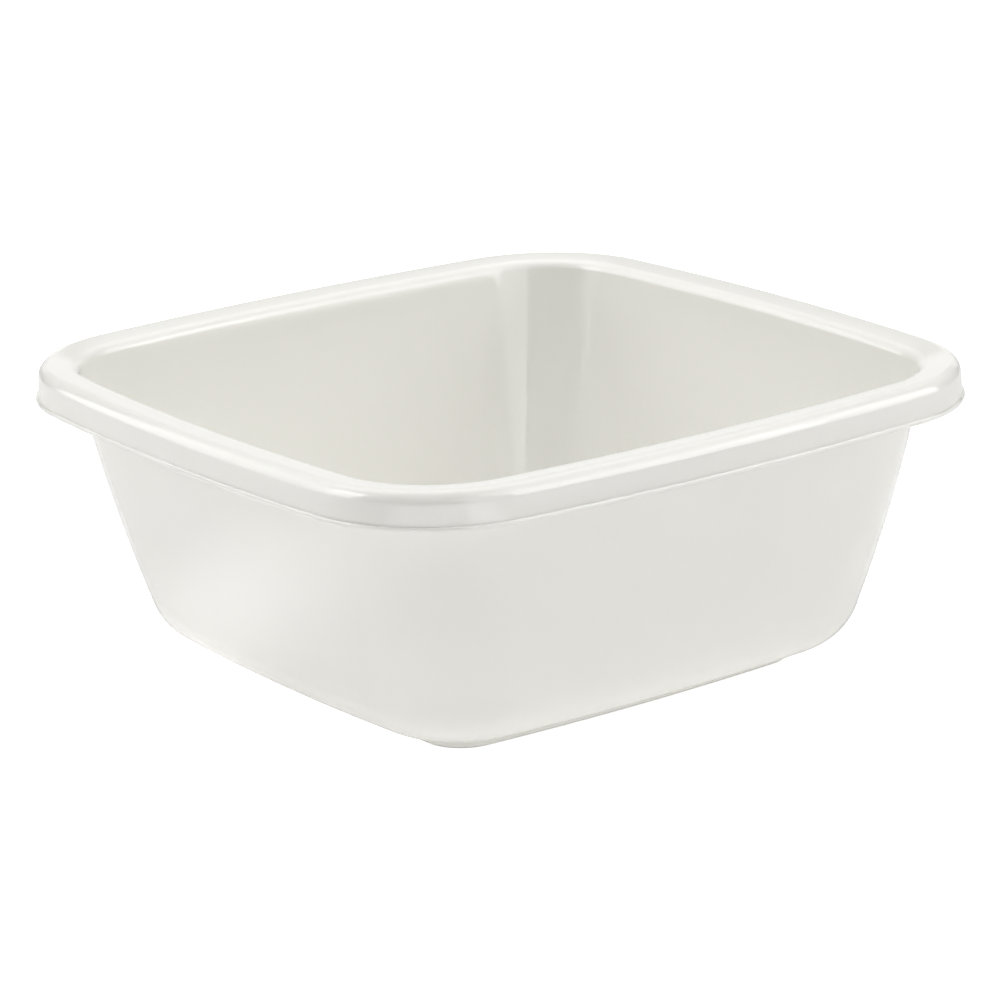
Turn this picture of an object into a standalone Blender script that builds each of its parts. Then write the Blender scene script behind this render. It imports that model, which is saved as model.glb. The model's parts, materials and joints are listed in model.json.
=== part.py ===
"""A square washing basin, injection moulded in one piece.

Metres, +Z up. The origin is on the floor it stands on, under the middle of the basin, and the
basin's sides face -X, +X, -Y and +Y. The shell is a loft: a section through the wall and the
turned-down rim is carried round a plan whose sides bow slightly outwards and whose corners are
arcs tangent to them. Stations of the section are pairs of a half width, from the middle of the
basin to the middle of a side, and a height.
"""

import math

import bmesh
import bpy

# The whole basin
WIDTH = 0.380
HEIGHT = 0.1515
SHELL_THICKNESS = 0.002
FLOOR_THICKNESS = 0.0024

# The plan, measured round the lip
LIP_CORNER_RADIUS = 0.074
LIP_SIDE_RADIUS = 1.320

# The rim, from its lip inwards: its flange falls towards the cavity
LIP_PROUD = 0.0012
LIP_HEIGHT = 0.0015
SKIRT_DEPTH = 0.0178
SKIRT_FLARE = 0.0006
SHOULDER_RADIUS = 0.0054
RIM_WIDTH = 0.0225
FLANGE_FALL = 0.0010
INNER_EDGE_RADIUS = 0.0075

# The wall, as the outer skin would run on down to the ground
WALL_FOOT_HALF_WIDTH = 0.1370
WALL_BULGE = 0.0033
WALL_FOOT_CORNER_RADIUS = 0.058

# The round bottom edge, the floor and the foot ring
BOTTOM_EDGE_HEIGHT = 0.030
BOTTOM_EDGE_WIDTH = 0.045
FLOOR_CLEARANCE = 0.0052
FLOOR_CROWN = 0.0008
FOOT_RING_SETBACK = 0.036
FOOT_RING_THICKNESS = 0.0022
FOOT_RING_DRAFT = 0.0002

# The mark of the mould's gate, under the middle of the floor
GATE_RECESS_RADIUS = 0.009
GATE_RECESS_DEPTH = 0.0006
GATE_STUB_RADIUS = 0.0022
GATE_STUB_HEIGHT = 0.0004
FLOOR_CENTRE_RADIUS = 0.045

# The webs under the flange, which keep stacked basins from jamming
WEB_THICKNESS = 0.0014
WEB_SPACING = 0.120
WEB_DEPTH = 0.0095
WEB_SLOPE = 0.0030
WEB_ROOT = 0.0008
WEBS_PER_SIDE = 2

# How finely the arcs are cut
SIDE_STEPS = 3
CORNER_STEPS = 10
EDGE_STEPS = 6
SHOULDER_STEPS = 6
LIP_STEPS = 4
WALL_STEPS = 5
BOTTOM_STEPS = 8
SHARP_ANGLE = math.radians(32)

# Where the round bottom edge leaves the wall, and how far its curve's two handles reach
BOTTOM_HANDLE_SHARE = 0.64

PLASTIC_COLOUR = (0.855, 0.847, 0.807, 1.0)
PLASTIC_ROUGHNESS = 0.14


def clear_scene():
    for item in list(bpy.data.objects):
        bpy.data.objects.remove(item, do_unlink=True)


def plastic():
    """Off-white polypropylene with a glossy mould finish."""
    material = bpy.data.materials.new("ivory_polypropylene")
    material.use_nodes = True
    shader = material.node_tree.nodes["Principled BSDF"]
    shader.inputs["Base Color"].default_value = PLASTIC_COLOUR
    shader.inputs["Roughness"].default_value = PLASTIC_ROUGHNESS
    shader.inputs["Metallic"].default_value = 0.0
    material.diffuse_color = PLASTIC_COLOUR
    return material


def arc(centre_x, centre_z, radius, start, end, steps):
    """Points of an arc in the section, from one angle to another, both included."""
    points = []
    for step in range(steps + 1):
        angle = start + (end - start) * step / steps
        points.append((centre_x + radius * math.cos(angle), centre_z + radius * math.sin(angle)))
    return points


def bezier(start, handle_a, handle_b, end, steps):
    """Points of a cubic curve in the section, both ends included."""
    points = []
    for step in range(steps + 1):
        t = step / steps
        weights = ((1 - t) ** 3, 3 * t * (1 - t) ** 2, 3 * t * t * (1 - t), t ** 3)
        knots = (start, handle_a, handle_b, end)
        points.append(tuple(sum(w * knot[i] for w, knot in zip(weights, knots)) for i in (0, 1)))
    return points


def offset(points, distance):
    """The same curve, moved sideways to the right of its direction by a distance."""
    moved = []
    for index, (x, z) in enumerate(points):
        x0, z0 = points[max(index - 1, 0)]
        x1, z1 = points[min(index + 1, len(points) - 1)]
        length = math.hypot(x1 - x0, z1 - z0)
        moved.append((x + (z1 - z0) / length * distance, z - (x1 - x0) / length * distance))
    return moved


LIP_HALF_WIDTH = WIDTH / 2
LIP_BOTTOM = HEIGHT - SKIRT_DEPTH
CAVITY_HALF_WIDTH = LIP_HALF_WIDTH - RIM_WIDTH
WALL_TOP = HEIGHT - INNER_EDGE_RADIUS


def wall_half_width(z):
    """Half width of the wall's outer skin at a height: a straight taper, bulged in the middle."""
    share = z / WALL_TOP
    taper = (CAVITY_HALF_WIDTH + SHELL_THICKNESS - WALL_FOOT_HALF_WIDTH) * share
    return WALL_FOOT_HALF_WIDTH + taper + WALL_BULGE * 4 * share * (1 - share)


def wall_lean(z):
    """How far the wall leans outwards at a height, from the vertical, in radians."""
    taper = CAVITY_HALF_WIDTH + SHELL_THICKNESS - WALL_FOOT_HALF_WIDTH
    return math.atan2(taper + WALL_BULGE * 4 * (1 - 2 * z / WALL_TOP), WALL_TOP)


def corner_radius(half_width, z):
    """Corner radius of the plan at a station of the section.

    Round the rim every curve keeps its distance from the lip. Down the wall the corners open out
    to a wider radius, and round the bottom edge they keep their distance from the wall again.
    """
    edge_radius = LIP_CORNER_RADIUS - (LIP_HALF_WIDTH - CAVITY_HALF_WIDTH - SHELL_THICKNESS)
    if z >= WALL_TOP or half_width > wall_half_width(z) + SHELL_THICKNESS:
        return LIP_CORNER_RADIUS - (LIP_HALF_WIDTH - half_width)
    level = max(z, BOTTOM_EDGE_HEIGHT)
    share = level / WALL_TOP
    outer = WALL_FOOT_CORNER_RADIUS + (edge_radius - WALL_FOOT_CORNER_RADIUS) * share
    return outer - (wall_half_width(level) - half_width)


def plan(half_width, radius):
    """A closed plan curve: four side arcs and four corner arcs, each tangent to the next."""
    side_radius = LIP_SIDE_RADIUS - (LIP_HALF_WIDTH - half_width)
    back = side_radius - half_width
    middle = (math.sqrt(2 * (side_radius - radius) ** 2 - back ** 2) - back) / 2
    turn = math.atan2(middle, middle + back)
    quarter = []
    for step in range(-SIDE_STEPS, SIDE_STEPS):
        angle = turn * step / SIDE_STEPS
        quarter.append((side_radius * math.cos(angle) - back, side_radius * math.sin(angle)))
    for step in range(CORNER_STEPS):
        angle = turn + (math.pi / 2 - 2 * turn) * step / CORNER_STEPS
        quarter.append((middle + radius * math.cos(angle), middle + radius * math.sin(angle)))
    points = []
    for _ in range(4):
        points += quarter
        quarter = [(-y, x) for x, y in quarter]
    return points


def rim_skin():
    """The upper skin from the foot of the inner edge's arc, over the flange, to the skirt's foot."""
    fall = math.atan2(FLANGE_FALL, RIM_WIDTH - INNER_EDGE_RADIUS - SHOULDER_RADIUS - LIP_PROUD)
    flare = math.atan2(SKIRT_FLARE, SKIRT_DEPTH - SHOULDER_RADIUS)
    shoulder_x = LIP_HALF_WIDTH - LIP_PROUD - SKIRT_FLARE - SHOULDER_RADIUS
    shoulder_z = HEIGHT - SHOULDER_RADIUS
    lean = wall_lean(WALL_TOP)
    edge_x = CAVITY_HALF_WIDTH + INNER_EDGE_RADIUS
    flat_start = shoulder_x - SHOULDER_RADIUS * math.sin(fall)
    flat_height = shoulder_z + SHOULDER_RADIUS * math.cos(fall)
    run = flat_start - (edge_x - INNER_EDGE_RADIUS * math.sin(fall))
    edge_z = flat_height - run * math.tan(fall) - INNER_EDGE_RADIUS * math.cos(fall)
    level = math.pi / 2 + fall
    skin = arc(edge_x, edge_z, INNER_EDGE_RADIUS, math.pi - lean, level, EDGE_STEPS)
    skin += arc(shoulder_x, shoulder_z, SHOULDER_RADIUS, level, flare, SHOULDER_STEPS)
    skin.append((LIP_HALF_WIDTH - LIP_PROUD, LIP_BOTTOM + LIP_HEIGHT))
    return skin


def wall_skin():
    """The inner skin from the edge of the flat floor, round the bottom edge, up to the rim."""
    floor_top = FLOOR_CLEARANCE + FLOOR_THICKNESS
    edge_top = BOTTOM_EDGE_HEIGHT + FLOOR_THICKNESS
    edge_half_width = wall_half_width(edge_top) - SHELL_THICKNESS
    floor_half_width = edge_half_width - BOTTOM_EDGE_WIDTH
    lean = wall_lean(edge_top)
    reach = BOTTOM_HANDLE_SHARE * (edge_top - floor_top)
    across = BOTTOM_HANDLE_SHARE * BOTTOM_EDGE_WIDTH
    skin = bezier((floor_half_width, floor_top),
                  (floor_half_width + across, floor_top),
                  (edge_half_width - reach * math.sin(lean), edge_top - reach * math.cos(lean)),
                  (edge_half_width, edge_top), BOTTOM_STEPS)
    wall_end = rim_skin()[0][1]
    for step in range(1, WALL_STEPS):
        z = edge_top + (wall_end - edge_top) * step / WALL_STEPS
        skin.append((wall_half_width(z) - SHELL_THICKNESS, z))
    return skin


def section():
    """The closed section, from the inside of the floor over the rim to the underside."""
    upper = wall_skin() + rim_skin()
    lip = arc(LIP_HALF_WIDTH - LIP_HEIGHT / 2, LIP_BOTTOM + LIP_HEIGHT / 2, LIP_HEIGHT / 2,
              math.pi / 2, -math.pi / 2, LIP_STEPS)
    lower = offset(upper, SHELL_THICKNESS)
    lower[-1] = (lower[-1][0], LIP_BOTTOM)
    lower.reverse()
    foot_x = wall_half_width(BOTTOM_EDGE_HEIGHT) - FOOT_RING_SETBACK
    lower = [point for point in lower if point[0] > foot_x + FOOT_RING_THICKNESS / 2]
    ring_inside = foot_x - FOOT_RING_THICKNESS
    lower += [(foot_x + FOOT_RING_DRAFT, FLOOR_CLEARANCE + FOOT_RING_DRAFT),
              (foot_x, 0),
              (ring_inside, 0),
              (ring_inside - FOOT_RING_DRAFT, FLOOR_CLEARANCE)]
    return upper + lip + lower


def loft_ring(mesh, half_width, z):
    corner = corner_radius(half_width, z)
    return [mesh.verts.new((x, y, z)) for x, y in plan(half_width, corner)]


def round_ring(mesh, pattern, radius, z):
    """A circle with one point on the line from the middle to each point of a plan ring."""
    ring = []
    for corner in pattern:
        distance = math.hypot(corner.co.x, corner.co.y)
        ring.append(mesh.verts.new((corner.co.x / distance * radius,
                                    corner.co.y / distance * radius, z)))
    return ring


def bridge(mesh, first, second):
    count = len(first)
    for index in range(count):
        following = (index + 1) % count
        mesh.faces.new((first[index], first[following], second[following], second[index]))


def shell_mesh():
    """The closed shell, lofted ring by ring from the middle of the floor and back to it."""
    mesh = bmesh.new()
    rings = [loft_ring(mesh, x, z) for x, z in section()]
    floor_top = FLOOR_CLEARANCE + FLOOR_THICKNESS + FLOOR_CROWN
    underside = FLOOR_CLEARANCE + FLOOR_CROWN
    recess = underside + GATE_RECESS_DEPTH
    inside = [round_ring(mesh, rings[0], FLOOR_CENTRE_RADIUS, floor_top)]
    outside = [round_ring(mesh, rings[0], FLOOR_CENTRE_RADIUS, underside),
               round_ring(mesh, rings[0], GATE_RECESS_RADIUS, underside),
               round_ring(mesh, rings[0], GATE_RECESS_RADIUS - GATE_RECESS_DEPTH, recess),
               round_ring(mesh, rings[0], GATE_STUB_RADIUS, recess),
               round_ring(mesh, rings[0], GATE_STUB_RADIUS, recess - GATE_STUB_HEIGHT)]
    rings = inside + rings + outside
    for first, second in zip(rings, rings[1:]):
        bridge(mesh, first, second)
    mesh.faces.new(list(reversed(rings[0])))
    mesh.faces.new(rings[-1])
    bmesh.ops.recalc_face_normals(mesh, faces=mesh.faces)
    return mesh


def side_face(half_width, along):
    """Where a side's plan arc stands, at a distance along the side from its middle."""
    side_radius = LIP_SIDE_RADIUS - (LIP_HALF_WIDTH - half_width)
    return half_width - side_radius + math.sqrt(side_radius ** 2 - along ** 2)


def web_profile():
    """Half widths and heights of a web: rooted in the wall, the flange and the skirt."""
    flange_underside = HEIGHT - SHELL_THICKNESS - FLANGE_FALL
    wall_z = flange_underside - WEB_DEPTH
    skirt_z = wall_z + WEB_SLOPE
    skirt_inside = LIP_HALF_WIDTH - LIP_PROUD - SKIRT_FLARE - SHELL_THICKNESS
    corner = SHOULDER_RADIUS - SHELL_THICKNESS
    edge = INNER_EDGE_RADIUS - SHELL_THICKNESS
    wall_top = WALL_TOP - SHELL_THICKNESS
    return [(wall_half_width(wall_z) - WEB_ROOT, wall_z),
            (skirt_inside + WEB_ROOT, skirt_z),
            (skirt_inside + WEB_ROOT, HEIGHT - SHOULDER_RADIUS),
            (skirt_inside - corner, flange_underside + WEB_ROOT),
            (CAVITY_HALF_WIDTH + SHELL_THICKNESS + edge, flange_underside + WEB_ROOT),
            (wall_half_width(wall_top) - WEB_ROOT, wall_top)]


def add_web(mesh, along, quarter_turns):
    """One web: its profile, thickened along the side, then turned to its side of the basin."""
    faces = []
    for shift in (-WEB_THICKNESS / 2, WEB_THICKNESS / 2):
        ring = []
        for half_width, z in web_profile():
            x, y = side_face(half_width, along), along + shift
            for _ in range(quarter_turns):
                x, y = -y, x
            ring.append(mesh.verts.new((x, y, z)))
        faces.append(ring)
    bridge(mesh, faces[0], faces[1])
    mesh.faces.new(list(reversed(faces[0])))
    mesh.faces.new(faces[1])


def webs_mesh():
    mesh = bmesh.new()
    for quarter_turns in range(4):
        for place in range(WEBS_PER_SIDE):
            along = WEB_SPACING * (place - (WEBS_PER_SIDE - 1) / 2)
            add_web(mesh, along, quarter_turns)
    bmesh.ops.recalc_face_normals(mesh, faces=mesh.faces)
    return mesh


def add_object(name, mesh):
    data = bpy.data.meshes.new(name)
    bmesh.ops.triangulate(mesh, faces=mesh.faces)
    mesh.to_mesh(data)
    mesh.free()
    item = bpy.data.objects.new(name, data)
    bpy.context.collection.objects.link(item)
    return item


def build():
    clear_scene()
    shell = add_object("basin_shell", shell_mesh())
    shell.data.materials.append(plastic())
    webs = add_object("web_guide", webs_mesh())
    webs.hide_render = True
    webs.display_type = "WIRE"
    union = shell.modifiers.new("webs", "BOOLEAN")
    union.operation = "UNION"
    union.solver = "EXACT"
    union.object = webs
    shell.data.shade_smooth()
    shell.data.set_sharp_from_angle(angle=SHARP_ANGLE)


build()
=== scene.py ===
"""A square washing basin moulded in one piece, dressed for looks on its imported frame.

The file is laid out as a Blender add-on and run as a script. Sizes are in metres, +Z is up and
the basin stands on the origin's plane. Its sides face -X, +X, -Y and +Y.
"""

import json
import math

import bmesh
import bpy
from bpy.props import FloatProperty, FloatVectorProperty, IntProperty, PointerProperty
from mathutils import Matrix, Vector

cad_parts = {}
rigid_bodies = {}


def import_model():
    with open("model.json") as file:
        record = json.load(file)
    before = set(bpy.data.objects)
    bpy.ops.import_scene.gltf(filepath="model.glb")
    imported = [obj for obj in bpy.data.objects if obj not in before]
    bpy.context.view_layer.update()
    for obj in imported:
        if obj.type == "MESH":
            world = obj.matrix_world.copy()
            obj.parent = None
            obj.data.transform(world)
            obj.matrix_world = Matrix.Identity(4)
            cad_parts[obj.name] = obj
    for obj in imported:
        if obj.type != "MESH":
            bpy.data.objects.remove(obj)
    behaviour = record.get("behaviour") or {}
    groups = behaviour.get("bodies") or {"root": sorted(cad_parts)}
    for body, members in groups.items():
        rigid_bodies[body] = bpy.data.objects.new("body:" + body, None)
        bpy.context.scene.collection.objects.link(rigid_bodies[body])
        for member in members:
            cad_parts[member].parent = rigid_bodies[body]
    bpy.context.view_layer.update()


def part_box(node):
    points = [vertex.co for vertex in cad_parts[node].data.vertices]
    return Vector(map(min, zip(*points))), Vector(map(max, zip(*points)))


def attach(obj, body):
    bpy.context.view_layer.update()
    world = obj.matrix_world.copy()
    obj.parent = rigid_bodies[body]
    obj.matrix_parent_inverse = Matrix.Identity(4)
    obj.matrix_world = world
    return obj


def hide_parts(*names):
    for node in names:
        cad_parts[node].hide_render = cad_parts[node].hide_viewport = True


bl_info = {
    "name": "Square Washing Basin",
    "version": (1, 0, 0),
    "blender": (4, 5, 0),
    "location": "3D View > Sidebar > Basin",
    "description": "Models a moulded polypropylene basin and a pale studio to show it in",
    "category": "Object",
}

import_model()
SHELL_LOW, SHELL_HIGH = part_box("basin_shell")

# Two places closer together than this are one place
NEAR = 2e-6
# Points closer together than this are welded after the spins
WELD = NEAR * 2

# Cuts round the inner edge and the shoulder, round the lip, and along the bottom edge
EDGE_STEPS, LIP_STEPS, BOTTOM_STEPS = 14, 10, 20
# How far the bottom edge's curve keeps to the floor's and the wall's directions, as a share
HANDLE_SHARE = 0.64
# The soft edges of the foot ring
RING_CHAMFER = 0.0002
# How deep a web is rooted in what it joins, and how much its lower edge rises to the skirt
WEB_ROOT, WEB_RISE = 0.0008, 0.003
# The loops that close the floor towards its middle, as shares of its half width
FLOOR_LOOPS = (0.82, 0.64, 0.46, 0.28, 0.12, 0.03)
# The mark of the mould's gate: a round recess with a stub in it. Its cutter starts below the
# ground, and the other heights are counted up from the underside of the floor's middle.
GATE_CUTS = 48
RECESS_RADIUS, RECESS_START, RECESS_DEPTH = 0.009, -0.01, 0.0006
STUB_RADIUS, STUB_FOOT, STUB_TOP = 0.0022, 0.0002, 0.001
# Edges that turn by less than this are shaded smooth
SMOOTH_ANGLE = math.radians(32)
# The small plane that a new mesh starts from, before its points are merged or deleted
SEED_SIZE = 0.01


def linear(code):
    """An sRGB hex colour as linear red, green and blue."""
    shares = [int(code[at:at + 2], 16) / 255 for at in (1, 3, 5)]
    return tuple(c / 12.92 if c <= 0.04045 else ((c + 0.055) / 1.055) ** 2.4 for c in shares)


def length(name, description, default):
    return FloatProperty(name=name, description=description, default=default, min=0.0,
                         soft_max=1.0, precision=5, unit="LENGTH")


def count(name, description, default):
    return IntProperty(name=name, description=description, default=default, min=1, soft_max=64)


def colour(name, description, code):
    return FloatVectorProperty(name=name, description=description, default=linear(code), size=3,
                               min=0.0, max=1.0, subtype="COLOR")


class BasinSizes(bpy.types.PropertyGroup):
    """Sizes of the moulding."""

    width: length("Width", "Across the lip, from side to side", SHELL_HIGH.x - SHELL_LOW.x)
    height: length("Height", "From the ground to the top of the rim", 0.1515)
    thickness: length("Thickness", "Thickness of the wall and the rim", 0.002)
    lip_corner: length("Lip corner radius", "Corner radius of the plan round the lip", 0.074)
    lip_bow: FloatProperty(name="Lip bow radius", description="Radius of a side's slight bow",
                           default=1.32, min=0.3, unit="LENGTH")
    lip_proud: length("Lip", "How far the lip stands out from the skirt", 0.0012)
    lip_height: length("Lip height", "Height of the lip at the skirt's foot", 0.0022)
    lip_round: length("Lip rounding", "How far back the lip's rounded outside reaches", 0.0004)
    skirt_depth: length("Skirt depth", "From the top of the rim to the lip's underside", 0.0178)
    skirt_flare: length("Skirt flare", "How far the skirt leans outwards on its way down", 0.0006)
    shoulder: length("Shoulder width", "Of the rounding between the flange and the skirt", 0.0054)
    shoulder_fall: length("Shoulder fall", "Height of the same rounding", 0.0061)
    rim_width: length("Rim width", "From the lip to the top of the wall's inner face", 0.0225)
    flange_fall: length("Flange fall", "How far the flange drops towards the cavity", 0.001)
    inner_edge: length("Inner edge radius", "Between the flange and the wall", 0.0056)
    wall_rise: length("Wall height", "From the ground to where its full taper is reached", 0.144)
    foot_half: length("Wall foot", "Half width of the wall if it ran on to the ground", 0.137)
    wall_bulge: length("Wall bulge", "How far the wall's taper bulges halfway up", 0.0033)
    foot_corner: length("Wall foot corner", "Corner radius of the wall at the ground", 0.058)
    bottom_height: length("Bottom edge height", "Where the round bottom edge begins", 0.030)
    bottom_width: length("Bottom edge width", "From the wall in to the flat floor", 0.045)
    floor_thickness: length("Floor thickness", "Thickness of the floor", 0.0024)
    clearance: length("Floor clearance", "From the ground to the floor's underside", 0.0043)
    crown: length("Floor crown", "How far the floor's middle stands above its edge", 0.0008)
    ring_setback: length("Foot ring setback", "From the wall in to the foot ring", 0.036)
    ring_thickness: length("Foot ring thickness", "Thickness of the foot ring", 0.0022)
    web_thickness: length("Web thickness", "Of the stacking webs under the flange", 0.0014)
    web_spacing: length("Web spacing", "Between the two webs of a side", 0.120)
    web_depth: length("Web depth", "How far a web reaches down the wall", 0.0095)
    side_steps: count("Side steps", "Cuts in half a side", 8)
    corner_steps: count("Corner steps", "Cuts round a corner", 26)
    wall_steps: count("Wall steps", "Cuts up the wall", 14)


class BasinColours(bpy.types.PropertyGroup):
    """Colours of the plastic and of the studio."""

    plastic: colour("Plastic", "Off-white polypropylene", "#EEEDE9")
    plastic_warm: colour("Plastic, warm", "The same where it is a shade warmer", "#EEEDE7")
    floor: colour("Floor", "The studio's pale floor", "#F2F2F2")


def sizes():
    return bpy.context.scene.basin_sizes


def colours():
    return bpy.context.scene.basin_colours


def arc(centre, radius, start, end, steps):
    """Points of an arc, from one angle to another, both included."""
    angles = [start + (end - start) * step / steps for step in range(steps + 1)]
    return [(centre[0] + radius * math.cos(a), centre[1] + radius * math.sin(a)) for a in angles]


def curve(start, handle_a, handle_b, end, steps):
    """Points of a cubic curve, both ends included."""
    points = []
    for step in range(steps + 1):
        t = step / steps
        shares = ((1 - t) ** 3, 3 * t * (1 - t) ** 2, 3 * t * t * (1 - t), t ** 3)
        knots = (start, handle_a, handle_b, end)
        points.append(tuple(sum(s * knot[i] for s, knot in zip(shares, knots)) for i in (0, 1)))
    return points


def beside(points, distance):
    """The same line moved sideways, to the right of its direction."""
    moved = []
    for at, (x, z) in enumerate(points):
        before, after = points[max(at - 1, 0)], points[min(at + 1, len(points) - 1)]
        run, rise = after[0] - before[0], after[1] - before[1]
        reach = math.hypot(run, rise)
        moved.append((x + rise / reach * distance, z - run / reach * distance))
    return moved


def wall_half(z):
    """Half width of the wall's outer face at a height."""
    s = sizes()
    share = z / s.wall_rise
    taper = s.width / 2 - s.rim_width + s.thickness - s.foot_half
    return s.foot_half + taper * share + s.wall_bulge * 4 * share * (1 - share)


def wall_lean(z):
    """How far the wall leans outwards at a height, in radians."""
    s = sizes()
    taper = s.width / 2 - s.rim_width + s.thickness - s.foot_half
    return math.atan2(taper + s.wall_bulge * 4 * (1 - 2 * z / s.wall_rise), s.wall_rise)


def rim_section():
    """From the top of the wall's inner face, over the rim, round the lip and back underneath."""
    s = sizes()
    run_flat = s.rim_width - s.inner_edge - s.shoulder - s.lip_proud
    fall = math.atan2(s.flange_fall, run_flat)
    flare = math.atan2(s.skirt_flare, s.skirt_depth - s.shoulder)
    shoulder = (s.width / 2 - s.lip_proud - s.skirt_flare - s.shoulder, s.height - s.shoulder)
    edge_x = s.width / 2 - s.rim_width + s.inner_edge
    flat_x = shoulder[0] - s.shoulder * math.sin(fall)
    run = flat_x - (edge_x - s.inner_edge * math.sin(fall))
    edge_z = shoulder[1] + s.shoulder * math.cos(fall) - run * math.tan(fall)
    edge_z -= s.inner_edge * math.cos(fall)
    level = math.pi / 2 + fall
    skin = arc((edge_x, edge_z), s.inner_edge, math.pi - wall_lean(s.wall_rise), level,
               EDGE_STEPS)
    skin += [(x, s.height - (s.height - z) * s.shoulder_fall / s.shoulder)
             for x, z in arc(shoulder, s.shoulder, level, flare, EDGE_STEPS)]
    foot = s.height - s.skirt_depth
    skin.append((s.width / 2 - s.lip_proud, foot + s.lip_height))
    half_lip = s.lip_height / 2
    lip = [(s.width / 2 - s.lip_round * (1 - x), foot + half_lip * (1 + z))
           for x, z in arc((0, 0), 1, math.pi / 2, -math.pi / 2, LIP_STEPS)]
    under = beside(skin, s.thickness)
    under[-1] = (under[-1][0], foot)
    return skin + lip + under[::-1]


def inner_bottom():
    """From the flat floor's edge, round the bottom edge, to the foot of the wall's inner face."""
    s = sizes()
    floor_top = s.clearance + s.floor_thickness
    top = s.bottom_height + s.floor_thickness
    edge = wall_half(top) - s.thickness
    lean = wall_lean(top)
    reach, across = HANDLE_SHARE * (top - floor_top), HANDLE_SHARE * s.bottom_width
    return curve((edge - s.bottom_width, floor_top), (edge - s.bottom_width + across, floor_top),
                 (edge - reach * math.sin(lean), top - reach * math.cos(lean)), (edge, top),
                 BOTTOM_STEPS)


def outer_bottom():
    """From inside the foot ring, round the ring and the bottom edge, to the wall's outer face."""
    s = sizes()
    ring = wall_half(s.bottom_height) - s.ring_setback
    skin = [p for p in beside(inner_bottom(), s.thickness) if p[0] > ring + s.ring_thickness / 2]
    inside, soft = ring - s.ring_thickness, RING_CHAMFER
    return [(inside - soft, s.clearance), (inside, s.clearance - soft), (inside, soft),
            (inside + soft, 0.0), (ring - soft, 0.0), (ring, soft),
            (ring + soft, s.clearance)] + skin


class Plan:
    """The bowed sides and round corners of a concentric family of curves in plan."""

    def __init__(self, half, corner):
        bow = sizes().lip_bow - (sizes().width / 2 - half)
        self.back = bow - half
        self.middle = (math.sqrt(2 * (bow - corner) ** 2 - self.back ** 2) - self.back) / 2
        self.turn = math.atan2(self.middle, self.middle + self.back)

    def arcs(self):
        """Centre, angle and number of steps of each arc, once round from the middle of +X."""
        s = sizes()
        rounds = []
        for quarter in range(4):
            spread = Matrix.Rotation(quarter * math.pi / 2, 3, "Z")
            side = spread @ Vector((-self.back, 0, 0))
            corner = spread @ Vector((self.middle, self.middle, 0))
            after = Matrix.Rotation(math.pi / 2, 3, "Z") @ side
            rounds += [(side, self.turn, s.side_steps),
                       (corner, math.pi / 2 - 2 * self.turn, s.corner_steps),
                       (after, self.turn, s.side_steps)]
        return rounds


def deselect():
    if bpy.context.mode != "OBJECT":
        bpy.ops.object.mode_set(mode="OBJECT")
    bpy.ops.object.select_all(action="DESELECT")


def pick(test):
    """Selects, in edit mode, the vertices that pass a test and the edges and faces between them."""
    mesh = bmesh.from_edit_mesh(bpy.context.edit_object.data)
    bpy.ops.mesh.select_mode(type="VERT")
    for vertex in mesh.verts:
        vertex.select = bool(test(vertex))
    mesh.select_flush_mode()
    bmesh.update_edit_mesh(bpy.context.edit_object.data)


def pick_rims(*heights):
    """Selects the open edge loops that lie at the given heights."""
    mesh = bmesh.from_edit_mesh(bpy.context.edit_object.data)
    bpy.ops.mesh.select_mode(type="EDGE")
    bpy.ops.mesh.select_all(action="DESELECT")
    picked = 0
    for edge in mesh.edges:
        level = [v.co.z for v in edge.verts]
        if edge.is_boundary and any(max(abs(z - h) for z in level) < NEAR for h in heights):
            edge.select = True
            picked += 1
    mesh.select_flush_mode()
    bmesh.update_edit_mesh(bpy.context.edit_object.data)
    if not picked:
        raise RuntimeError(f"no open loop at {heights}")


def draw(points):
    """Draws a line of edges through points of the section, in edit mode, and leaves it selected."""
    place = Vector((points[0][0], 0, points[0][1]))
    bpy.ops.mesh.select_all(action="DESELECT")
    bpy.ops.mesh.primitive_plane_add(size=SEED_SIZE, location=place)
    bpy.ops.mesh.merge(type="CENTER")
    for x, z in points[1:]:
        step = Vector((x, 0, z)) - place
        bpy.ops.mesh.extrude_vertices_move(TRANSFORM_OT_translate={"value": step})
        place += step
    bpy.ops.mesh.select_linked()


def spin_round(plan):
    """Spins the selected lines once round a plan, arc by arc."""
    for centre, angle, steps in plan.arcs():
        bpy.ops.mesh.spin(steps=steps, angle=angle, center=centre, axis=(0, 0, -1))


def shrink_step(share, rise):
    """Extrudes the selected loop, pulls it in towards the axis and lifts it."""
    bpy.ops.mesh.extrude_edges_move(TRANSFORM_OT_translate={"value": (0, 0, rise)})
    bpy.ops.transform.resize(value=(share, share, 1), center_override=(0, 0, 0))


def start_piece(name):
    """A new, empty mesh in edit mode."""
    deselect()
    bpy.ops.mesh.primitive_plane_add(size=SEED_SIZE, location=(0, 0, 0))
    piece = bpy.context.object
    piece.name = piece.data.name = name
    bpy.ops.object.mode_set(mode="EDIT")
    bpy.ops.mesh.select_all(action="SELECT")
    bpy.ops.mesh.delete(type="VERT")
    return piece


def apply(piece, modifier):
    deselect()
    piece.select_set(True)
    bpy.context.view_layer.objects.active = piece
    bpy.ops.object.modifier_apply(modifier=modifier.name)


def close_middle(height, crown):
    """Closes an open loop of the floor towards the middle, which stands higher by the crown."""
    pick_rims(height)
    before, level = 1.0, height
    for share in FLOOR_LOOPS:
        target = height + crown * (1 - share ** 2)
        shrink_step(share / before, target - level)
        before, level = share, target
    bpy.ops.mesh.merge(type="CENTER")


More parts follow.
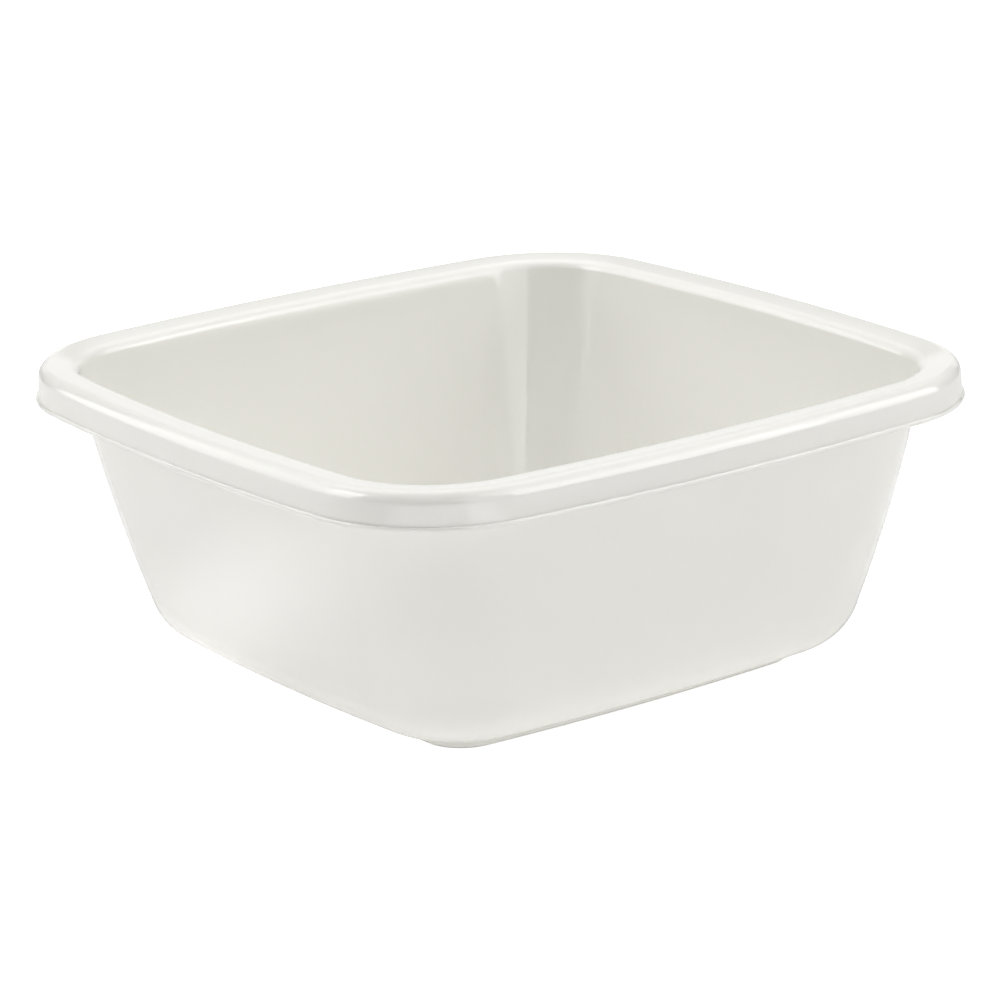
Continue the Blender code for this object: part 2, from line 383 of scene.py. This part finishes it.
def raise_wall(foot, top, cuts, outside):
    """Bridges from the bottom edge to the rim, then pushes each cut out to the wall's bulge."""
    pick_rims(foot, top)
    bpy.ops.mesh.bridge_edge_loops(number_cuts=cuts, interpolation="LINEAR")
    face = 0 if outside else sizes().thickness
    low, high = wall_half(foot) - face, wall_half(top) - face
    for cut in range(1, cuts + 1):
        share = cut / (cuts + 1)
        z = foot + (top - foot) * share
        straight = low + (high - low) * share
        swell = (wall_half(z) - face) / straight
        pick(lambda v: abs(v.co.z - z) < NEAR)
        bpy.ops.transform.resize(value=(swell, swell, 1), center_override=(0, 0, 0))


def shell_mesh():
    """Spins the rim and the bottom edge round their plans and raises the wall between them."""
    s = sizes()
    corner = s.lip_corner - (s.rim_width - s.thickness)
    level = s.bottom_height
    low_corner = s.foot_corner + (corner - s.foot_corner) * level / s.wall_rise
    shell = start_piece("moulded_basin")
    rim = rim_section()
    draw(rim)
    spin_round(Plan(s.width / 2, s.lip_corner))
    inner, outer = inner_bottom(), outer_bottom()
    draw(inner)
    spin_round(Plan(wall_half(level), low_corner))
    draw(outer)
    spin_round(Plan(wall_half(level), low_corner))
    bpy.ops.mesh.select_all(action="SELECT")
    bpy.ops.mesh.remove_doubles(threshold=WELD)
    raise_wall(inner[-1][1], rim[0][1], s.wall_steps, False)
    raise_wall(outer[-1][1], rim[-1][1], s.wall_steps, True)
    close_middle(inner[0][1], s.crown)
    close_middle(outer[0][1], s.crown)
    bpy.ops.mesh.select_all(action="SELECT")
    bpy.ops.mesh.normals_make_consistent(inside=False)
    bpy.ops.object.mode_set(mode="OBJECT")
    return shell


def web_outline():
    """Half widths and heights of a web, rooted in the wall, the flange and the skirt."""
    s = sizes()
    under = s.height - s.thickness - s.flange_fall
    wall_z = under - s.web_depth
    skirt = s.width / 2 - s.lip_proud - s.skirt_flare - s.thickness
    bend, edge = s.shoulder - s.thickness, s.inner_edge - s.thickness
    top = s.wall_rise - s.thickness
    return [(wall_half(wall_z) - WEB_ROOT, wall_z), (skirt + WEB_ROOT, wall_z + WEB_RISE),
            (skirt + WEB_ROOT, s.height - s.shoulder), (skirt - bend, under + WEB_ROOT),
            (s.width / 2 - s.rim_width + s.thickness + edge, under + WEB_ROOT),
            (wall_half(top) - WEB_ROOT, top)]


def webs_mesh():
    """Two webs on a side, each an extruded outline, copied round to the other three sides.

    Known fault: as it stands this draws no webs, and joining them leaves the shell as it was.
    close_middle() leaves the select mode on edges, in which draw() can't extrude its first
    point. With the mode on vertices before this runs, the webs are drawn and the shape changes.
    """
    s = sizes()
    bow = s.lip_bow - s.rim_width / 2
    drop = bow - math.sqrt(bow ** 2 - (s.web_spacing / 2) ** 2)
    webs = start_piece("web_guide")
    for along in (-s.web_spacing / 2, s.web_spacing / 2):
        draw([(x - drop, z) for x, z in web_outline()])
        bpy.ops.mesh.edge_face_add()
        bpy.ops.transform.translate(value=(0, along - s.web_thickness / 2, 0))
        bpy.ops.mesh.extrude_region_move(
            TRANSFORM_OT_translate={"value": (0, s.web_thickness, 0)})
    bpy.ops.mesh.select_all(action="SELECT")
    bpy.ops.mesh.spin(steps=3, dupli=True, angle=math.radians(270), center=(0, 0, 0),
                      axis=(0, 0, 1))
    bpy.ops.mesh.select_all(action="SELECT")
    bpy.ops.mesh.normals_make_consistent(inside=False)
    bpy.ops.object.mode_set(mode="OBJECT")
    return webs


def cutter(name, radius, low, high):
    """A short upright cylinder on the basin's axis."""
    deselect()
    bpy.ops.mesh.primitive_cylinder_add(vertices=GATE_CUTS, radius=radius, depth=high - low,
                                        location=(0, 0, (low + high) / 2))
    tool = bpy.context.object
    tool.name = name
    bpy.ops.object.transform_apply(location=True, rotation=True, scale=True)
    return tool


def join_with(piece, tool, operation):
    """Joins a tool's shape with a piece, or cuts it out, and removes the tool."""
    step = piece.modifiers.new("joined", "BOOLEAN")
    step.operation, step.solver, step.object = operation, "EXACT", tool
    apply(piece, step)
    bpy.data.objects.remove(tool, do_unlink=True)


class BASIN_OT_shell(bpy.types.Operator):
    """Model the moulding: floor, walls, rim, lip, foot ring and the gate's mark"""

    bl_idname = "basin.shell"
    bl_label = "Basin Shell"

    def execute(self, context):
        s = sizes()
        shell = shell_mesh()
        join_with(shell, webs_mesh(), "UNION")
        underside = s.clearance + s.crown
        recess = cutter("gate_recess", RECESS_RADIUS, RECESS_START, underside + RECESS_DEPTH)
        join_with(shell, recess, "DIFFERENCE")
        stub = cutter("gate_stub", STUB_RADIUS, underside + STUB_FOOT, underside + STUB_TOP)
        join_with(shell, stub, "UNION")
        deselect()
        shell.select_set(True)
        bpy.context.view_layer.objects.active = shell
        bpy.ops.object.shade_smooth_by_angle(angle=SMOOTH_ANGLE)
        shell.data.materials.clear()
        shell.data.materials.append(polypropylene())
        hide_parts("basin_shell")
        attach(shell, "root")
        return {"FINISHED"}


def add_node(tree, kind, inputs=None, **settings):
    """Adds a node; an input given as a socket is linked, and any other value is set."""
    node = tree.nodes.new(kind)
    for name, value in settings.items():
        setattr(node, name, value)
    for name, value in (inputs or {}).items():
        if isinstance(value, bpy.types.NodeSocket):
            tree.links.new(value, node.inputs[name])
        else:
            node.inputs[name].default_value = value
    return node


def new_material(name):
    material = bpy.data.materials.new(name)
    material.use_nodes = True
    material.node_tree.nodes.clear()
    return material, material.node_tree


# Noise features a metre: the pigment's slow drift over a hand's width, the uneven polish of the
# mould, and the mould's texture, drawn at 0.8 mm because the real 0.1 mm grain is too fine to show
DRIFT_SCALE, HAZE_SCALE, GRAIN_SCALE = 9.0, 28.0, 1250.0


def polypropylene():
    """Moulded off-white polypropylene with a glossy mould finish."""
    material, tree = new_material("moulded_polypropylene")
    place = add_node(tree, "ShaderNodeTexCoord").outputs["Object"]
    drift = add_node(tree, "ShaderNodeTexNoise", {"Vector": place, "Scale": DRIFT_SCALE,
                                                  "Detail": 2.0})
    # A colour mix has its two colours in sockets 6 and 7 and its result in output 2
    shade = add_node(tree, "ShaderNodeMix", {"Factor": drift.outputs["Fac"]}, data_type="RGBA")
    shade.inputs[6].default_value = (*colours().plastic, 1)
    shade.inputs[7].default_value = (*colours().plastic_warm, 1)
    grain = add_node(tree, "ShaderNodeTexNoise", {"Vector": place, "Scale": GRAIN_SCALE,
                                                  "Detail": 3.0})
    bump = add_node(tree, "ShaderNodeBump", {"Strength": 0.04, "Distance": 0.0001,
                                             "Height": grain.outputs["Fac"]})
    haze = add_node(tree, "ShaderNodeTexNoise", {"Vector": place, "Scale": HAZE_SCALE,
                                                 "Detail": 4.0})
    rough = add_node(tree, "ShaderNodeMapRange", {"Value": haze.outputs["Fac"],
                                                  "To Min": 0.07, "To Max": 0.09})
    shader = add_node(tree, "ShaderNodeBsdfPrincipled", {
        "Base Color": shade.outputs[2], "Roughness": rough.outputs["Result"], "IOR": 1.49,
        "Normal": bump.outputs["Normal"]})
    add_node(tree, "ShaderNodeOutputMaterial", {"Surface": shader.outputs["BSDF"]})
    return material


def background_share(tree, camera, mirrored):
    """How much a surface glows for the camera and in mirrored or refracted views of it."""
    path = add_node(tree, "ShaderNodeLightPath").outputs
    seen = add_node(tree, "ShaderNodeMath", {0: path["Is Camera Ray"], 1: camera},
                    operation="MULTIPLY")
    bent = add_node(tree, "ShaderNodeMath", {0: path["Is Glossy Ray"],
                                             1: path["Is Transmission Ray"]}, operation="ADD")
    glow = add_node(tree, "ShaderNodeMath", {0: bent.outputs["Value"], 1: mirrored,
                                             2: seen.outputs["Value"]}, operation="MULTIPLY_ADD")
    return glow.outputs["Value"]


# How bright the floor glows for the camera beside the basin, where 1 is white, and between which
# distances from the middle that rises to white
FLOOR_GLOW = 0.64
FADE_START, FADE_END = 0.40, 1.00
# A pool of light painted into the floor's glow, not a lamp: it shows only as a reflection and
# paints a highlight on the left wall
PAINTED_POOL_CENTRE = (-0.20, 0.10, 0.0)
PAINTED_POOL_RADIUS = 0.12
PAINTED_POOL_GLOW = 1.00


def studio_floor():
    """Matt white paper that runs into the white some way from the basin, with a painted pool of
    light that shows only in reflections.
    """
    material, tree = new_material("white_paper")
    place = add_node(tree, "ShaderNodeTexCoord").outputs["Object"]
    away = add_node(tree, "ShaderNodeVectorMath", {0: place}, operation="LENGTH")
    fade = add_node(tree, "ShaderNodeMapRange", {
        "Value": away.outputs["Value"], "From Min": FADE_START, "From Max": FADE_END,
        "To Min": FLOOR_GLOW, "To Max": 1.0}, interpolation_type="SMOOTHSTEP")
    # Painted pool of light: round this place the floor glows for mirrored views only, which paints
    # a highlight on the left wall
    aside = add_node(tree, "ShaderNodeVectorMath", {0: place, 1: PAINTED_POOL_CENTRE},
                     operation="DISTANCE")
    painted_pool = add_node(tree, "ShaderNodeMapRange", {
        "Value": aside.outputs["Value"], "From Min": 0.0, "From Max": PAINTED_POOL_RADIUS,
        "To Min": PAINTED_POOL_GLOW, "To Max": 0.0}, interpolation_type="SMOOTHSTEP")
    glow = background_share(tree, fade.outputs["Result"], painted_pool.outputs["Result"])
    shader = add_node(tree, "ShaderNodeBsdfPrincipled", {
        "Base Color": (*colours().floor, 1), "Roughness": 0.9, "Specular IOR Level": 0.2,
        "Emission Color": (1, 1, 1, 1), "Emission Strength": glow})
    add_node(tree, "ShaderNodeOutputMaterial", {"Surface": shader.outputs["BSDF"]})
    return material


# Each lamp: name, azimuth and elevation in degrees, distance, width, height and brightness, of
# which 1 is white. The softboxes light the basin, and the panels only show as reflections.
SOFTBOXES = (
    ("softbox_over", 0.0, 89.9, 1.7, 2.0, 2.0, 3.03),
    ("softbox_left_back", -150.0, 24.0, 2.3, 1.4, 1.2, 2.48),
    ("softbox_left", -110.0, 24.0, 2.3, 1.4, 1.2, 0.85),
    ("softbox_right", 50.0, 24.0, 2.3, 1.4, 1.2, 2.80),
    ("softbox_front_low", -35.0, 12.0, 2.4, 1.4, 0.6, 1.25),
)
PANELS = (
    ("panel_back_low", 143.0, 9.0, 2.6, 3.0, 0.85, 0.66),
    ("panel_back_strip", 145.0, 24.5, 2.6, 2.8, 0.25, 0.24),
    ("panel_back_high", 145.0, 44.0, 2.3, 2.4, 1.0, 0.36),
    ("panel_over", 145.0, 75.0, 1.9, 2.2, 1.25, 1.34),
    ("panel_left_edge", -92.5, 16.0, 2.3, 0.36, 1.5, 0.80),
    ("panel_left_near_foot", -109.5, 2.5, 2.3, 1.02, 0.44, 1.60),
    ("panel_left_near", -109.5, 26.5, 2.3, 1.02, 1.54, 5.40),
    ("panel_left_far", -138.5, 16.0, 2.3, 1.33, 1.5, 2.80),
    ("panel_left_high", -135.0, 45.5, 2.2, 2.2, 0.95, 1.20),
    ("panel_right_near", -3.5, 16.0, 2.3, 1.45, 1.5, 1.95),
    ("panel_right_middle", 28.0, 16.0, 2.3, 1.1, 1.5, 5.40),
    ("panel_right_far", 55.0, 16.0, 2.3, 1.1, 1.5, 4.40),
    ("panel_right_high", 28.0, 45.5, 2.2, 2.2, 0.95, 1.95),
)
# Lamps that lie on the floor and face up, as a lit table does: name, place, width, length, turn
# in degrees, brightness, and whether they only show as reflections
TABLE_LAMPS = (
    ("table_left", -0.95, 0.10, 1.2, 1.2, 0.0, 0.68, False),
    ("table_right", 0.10, -0.95, 1.2, 1.2, 0.0, 0.58, False),
    ("table_under", 0.0, 0.0, 0.44, 0.44, 0.0, 0.48, False),
    ("table_front", -0.50, -0.71, 1.1, 1.0, -35.0, 2.00, True),
    ("table_near", 0.0, 0.0, 0.44, 0.44, 0.0, 0.60, True),
    ("table_right_far", -0.11, -1.60, 0.9, 1.4, -4.0, 0.95, True),
)
# How high the table's lamps lie above the floor, and the height on the axis that the others face
TABLE_LAMP_HEIGHT = 0.0001
LAMP_AIM_HEIGHT = 0.10
# How bright the world is for the camera and in reflections; it lights nothing
WORLD_SEEN, WORLD_MIRRORED = 1.0, 0.05
FLOOR_SIZE = 24
# Azimuth and elevation, roll, distance, focal length and sensor width in millimetres, and the
# point aimed at: its shift across and up in the picture, and its height on the axis
CAMERA_DIRECTION = (-35.4697, 16.8135)
CAMERA_ROLL = -2.0727
CAMERA_DISTANCE = 2.0498
CAMERA_LENS = 148.2
CAMERA_SENSOR = 36
CAMERA_AIM = (0.0006, 0.0029, 0.07572)
CAMERA_CLIP = (0.1, 60)


def direction(azimuth, elevation):
    """A unit vector from the basin towards a place; azimuth 0 is -Y and -90 is -X."""
    a, e = math.radians(azimuth), math.radians(elevation)
    return Vector((math.sin(a) * math.cos(e), -math.cos(a) * math.cos(e), math.sin(e)))


def add_camera():
    back = direction(*CAMERA_DIRECTION)
    right = Vector((0, 0, 1)).cross(back).normalized()
    up = back.cross(right)
    roll = math.radians(CAMERA_ROLL)
    across = right * math.cos(roll) + up * math.sin(roll)
    upright = up * math.cos(roll) - right * math.sin(roll)
    aim = Vector((0, 0, CAMERA_AIM[2])) + across * CAMERA_AIM[0] + upright * CAMERA_AIM[1]
    eye = aim + back * CAMERA_DISTANCE
    camera = bpy.data.objects.new("camera", bpy.data.cameras.new("camera"))
    bpy.context.collection.objects.link(camera)
    camera.matrix_world = Matrix(((across.x, upright.x, back.x, eye.x),
                                  (across.y, upright.y, back.y, eye.y),
                                  (across.z, upright.z, back.z, eye.z), (0, 0, 0, 1)))
    camera.data.sensor_width = CAMERA_SENSOR
    camera.data.lens = CAMERA_LENS
    camera.data.clip_start, camera.data.clip_end = CAMERA_CLIP
    bpy.context.scene.camera = camera


def add_lamp(name, width, height, brightness, mirrored):
    """A rectangular lamp that shines along its -Z; a mirrored one shows only as a reflection."""
    lamp = bpy.data.lights.new(name, "AREA")
    lamp.shape, lamp.size, lamp.size_y = "RECTANGLE", width, height
    lamp.energy = brightness * math.pi * width * height
    box = bpy.data.objects.new(name, lamp)
    bpy.context.collection.objects.link(box)
    box.visible_camera = False
    box.visible_glossy, box.visible_diffuse = mirrored, not mirrored
    return box


def hang_lamp(name, azimuth, elevation, distance, width, height, brightness, mirrored):
    """A lamp that faces the middle of the basin."""
    box = add_lamp(name, width, height, brightness, mirrored)
    towards = direction(azimuth, elevation)
    box.location = Vector((0, 0, LAMP_AIM_HEIGHT)) + towards * distance
    box.rotation_mode = "QUATERNION"
    box.rotation_quaternion = towards.to_track_quat("Z", "Y")


def lay_lamp(name, x, y, width, height, turn, brightness, mirrored):
    """A lamp that lies on the floor and faces up."""
    box = add_lamp(name, width, height, brightness, mirrored)
    box.location = (x, y, TABLE_LAMP_HEIGHT)
    box.rotation_euler = (math.pi, 0, math.radians(turn))


class BASIN_OT_stage(bpy.types.Operator):
    """Set up the pale floor, the soft studio light and the camera"""

    bl_idname = "basin.stage"
    bl_label = "Basin Stage"

    def execute(self, context):
        deselect()
        bpy.ops.mesh.primitive_plane_add(size=FLOOR_SIZE, location=(0, 0, 0))
        floor = bpy.context.object
        floor.name = "floor"
        floor.data.materials.append(studio_floor())
        for mirrored, lamps in ((False, SOFTBOXES), (True, PANELS)):
            for lamp in lamps:
                hang_lamp(*lamp, mirrored)
        for lamp in TABLE_LAMPS:
            lay_lamp(*lamp)
        world = bpy.data.worlds.new("studio")
        world.use_nodes = True
        tree = world.node_tree
        tree.nodes.clear()
        light = add_node(tree, "ShaderNodeBackground", {
            "Color": (1, 1, 1, 1),
            "Strength": background_share(tree, WORLD_SEEN, WORLD_MIRRORED)})
        add_node(tree, "ShaderNodeOutputWorld", {"Surface": light.outputs["Background"]})
        context.scene.world = world
        context.scene.view_settings.view_transform = "Standard"
        add_camera()
        return {"FINISHED"}


class BASIN_PT_panel(bpy.types.Panel):
    """Sizes, colours and steps of the basin"""

    bl_idname = "BASIN_PT_panel"
    bl_label = "Square Washing Basin"
    bl_space_type = "VIEW_3D"
    bl_region_type = "UI"
    bl_category = "Basin"

    def draw(self, context):
        scene = context.scene
        for group in (scene.basin_sizes, scene.basin_colours):
            column = self.layout.column(align=True)
            for name in group.__annotations__:
                column.prop(group, name)
        for step in STEPS:
            self.layout.operator(step.bl_idname)


STEPS = (BASIN_OT_shell, BASIN_OT_stage)
CLASSES = (BasinSizes, BasinColours, *STEPS, BASIN_PT_panel)


def register():
    for item in CLASSES:
        bpy.utils.register_class(item)
    bpy.types.Scene.basin_sizes = PointerProperty(type=BasinSizes)
    bpy.types.Scene.basin_colours = PointerProperty(type=BasinColours)


def unregister():
    del bpy.types.Scene.basin_colours
    del bpy.types.Scene.basin_sizes
    for item in reversed(CLASSES):
        bpy.utils.unregister_class(item)


def main():
    register()
    bpy.ops.basin.shell()
    bpy.ops.basin.stage()


if __name__ == "__main__":
    main()
